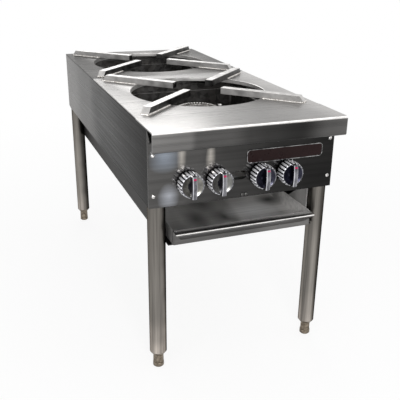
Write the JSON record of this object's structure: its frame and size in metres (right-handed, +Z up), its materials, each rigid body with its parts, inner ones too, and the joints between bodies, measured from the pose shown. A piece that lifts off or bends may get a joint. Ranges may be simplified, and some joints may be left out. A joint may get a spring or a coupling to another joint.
{
  "type": "stock pot range",
  "caption": "Free-standing gas stock pot range: low stainless body on round legs, round openings with diagonal pot bars, fluted knobs and a slide-out drip tray.",
  "frame": {"origin": "on the floor, under the middle of the whole range", "axes": "+X to the right as the cook faces the control panel, +Y to the back, +Z up"},
  "size_m": [0.461, 1.055, 0.626],
  "materials": {
    "steel_panel": "brushed stainless sheet",
    "steel_top": "brushed stainless plate",
    "steel_bar": "ground steel bar with weld marks",
    "galvanised": "plain galvanised sheet",
    "leg_steel": "satin tube",
    "foot_metal": "cast, satin",
    "casting": "rough cast, matt",
    "brass": "machined",
    "black_pipe": "black steel pipe",
    "tube_metal": "drawn tube",
    "knob_metal": "satin chrome",
    "plate_dark": "dark face with a bright rim",
    "screw_metal": "zinc plated"
  },
  "bodies": {
    "frame": {"side_panel_left": "steel_panel", "side_panel_right": "steel_panel", "back_panel": "steel_panel", "control_panel": "steel_panel", "front_rail": "steel_top", "top_plate_front": "steel_top", "top_plate_rear": "steel_top", "pot_bars_front": "steel_bar", "pot_bars_rear": "steel_bar", "top_cross_members": "galvanised", "bottom_braces": "galvanised", "liner_front": "galvanised", "liner_rear": "galvanised", "burner_supports": "galvanised", "tray_guide_left": "galvanised", "tray_guide_right": "galvanised", "leg_gussets": "galvanised", "air_shutters": "galvanised", "burner_ring_front": "casting", "burner_ring_rear": "casting", "burner_head_front": "casting", "burner_head_rear": "casting", "mixer_tube_front_outer": "casting", "mixer_tube_front_inner": "casting", "mixer_tube_rear_inner": "casting", "mixer_tube_rear_outer": "casting", "orifice_hoods": "brass", "gas_valve_front_outer": "brass", "gas_valve_front_inner": "brass", "gas_valve_rear_inner": "brass", "gas_valve_rear_outer": "brass", "manifold": "black_pipe", "supply_pipe": "black_pipe", "pilot_tubes_front": "tube_metal", "pilot_tubes_rear": "tube_metal", "pilot_heads": "tube_metal", "leg_front_left": "leg_steel", "leg_front_right": "leg_steel", "leg_rear_left": "leg_steel", "leg_rear_right": "leg_steel", "leg_sockets": "leg_steel", "leg_inserts": "leg_steel", "nameplate": "plate_dark", "panel_screws": "screw_metal", "small_screws": "screw_metal", "back_screws": "screw_metal"},
    "tray": {"drip_tray": "galvanised"},
    "knob_front_outer": {"knob_front_outer": "knob_metal", "stem_front_outer": "knob_metal"},
    "knob_front_inner": {"knob_front_inner": "knob_metal", "stem_front_inner": "knob_metal"},
    "knob_rear_inner": {"knob_rear_inner": "knob_metal", "stem_rear_inner": "knob_metal"},
    "knob_rear_outer": {"knob_rear_outer": "knob_metal", "stem_rear_outer": "knob_metal"},
    "foot_front_left": {"foot_front_left": "foot_metal"},
    "foot_front_right": {"foot_front_right": "foot_metal"},
    "foot_rear_left": {"foot_rear_left": "foot_metal"},
    "foot_rear_right": {"foot_rear_right": "foot_metal"}
  },
  "joints": [
    {"name": "tray_slide", "type": "slide", "parent": "frame", "child": "tray", "axis": [0, -1, 0], "range_m": [0, 0.6]},
    {"name": "knob_front_outer_turn", "type": "hinge", "parent": "frame", "child": "knob_front_outer", "pos_m": [-0.136, -0.4825, 0.478], "axis": [0, -1, 0], "range_deg": [0, 90]},
    {"name": "knob_front_inner_turn", "type": "hinge", "parent": "frame", "child": "knob_front_inner", "pos_m": [-0.067, -0.4825, 0.478], "axis": [0, -1, 0], "range_deg": [0, 90]},
    {"name": "knob_rear_inner_turn", "type": "hinge", "parent": "frame", "child": "knob_rear_inner", "pos_m": [0.039, -0.4825, 0.478], "axis": [0, -1, 0], "range_deg": [0, 90]},
    {"name": "knob_rear_outer_turn", "type": "hinge", "parent": "frame", "child": "knob_rear_outer", "pos_m": [0.108, -0.4825, 0.478], "axis": [0, -1, 0], "range_deg": [0, 90]},
    {"name": "foot_front_left_adjust", "type": "slide", "parent": "frame", "child": "foot_front_left", "axis": [0, 0, 1], "range_m": [-0.025, 0]},
    {"name": "foot_front_right_adjust", "type": "slide", "parent": "frame", "child": "foot_front_right", "axis": [0, 0, 1], "range_m": [-0.025, 0]},
    {"name": "foot_rear_left_adjust", "type": "slide", "parent": "frame", "child": "foot_rear_left", "axis": [0, 0, 1], "range_m": [-0.025, 0]},
    {"name": "foot_rear_right_adjust", "type": "slide", "parent": "frame", "child": "foot_rear_right", "axis": [0, 0, 1], "range_m": [-0.025, 0]}
  ]
}
